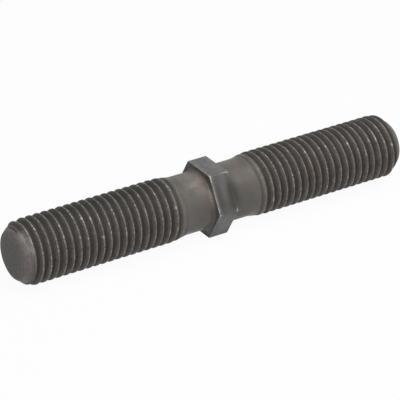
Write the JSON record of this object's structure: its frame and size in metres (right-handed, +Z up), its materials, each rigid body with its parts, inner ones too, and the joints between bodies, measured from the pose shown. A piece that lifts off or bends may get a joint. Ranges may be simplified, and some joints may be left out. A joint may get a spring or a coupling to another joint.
{
  "type": "double-ended camber bolt",
  "caption": "Double-ended threaded adjusting bolt with a hexagon collar in the middle, plain shanks, and coarse threads of opposite hand on its bevelled ends.",
  "frame": {"origin": "on the bolt's axis, at the middle of the hexagon collar", "axes": "+X along the axis towards the right-hand thread's end, +Z up through a level flat of the collar"},
  "size_m": [0.16, 0.0288, 0.025],
  "materials": {
    "phosphated_steel": "dark grey-brown phosphate with bare, worn crests and edges"
  },
  "bodies": {
    "root": {"camber_bolt": "phosphated_steel"}
  },
  "joints": []
}
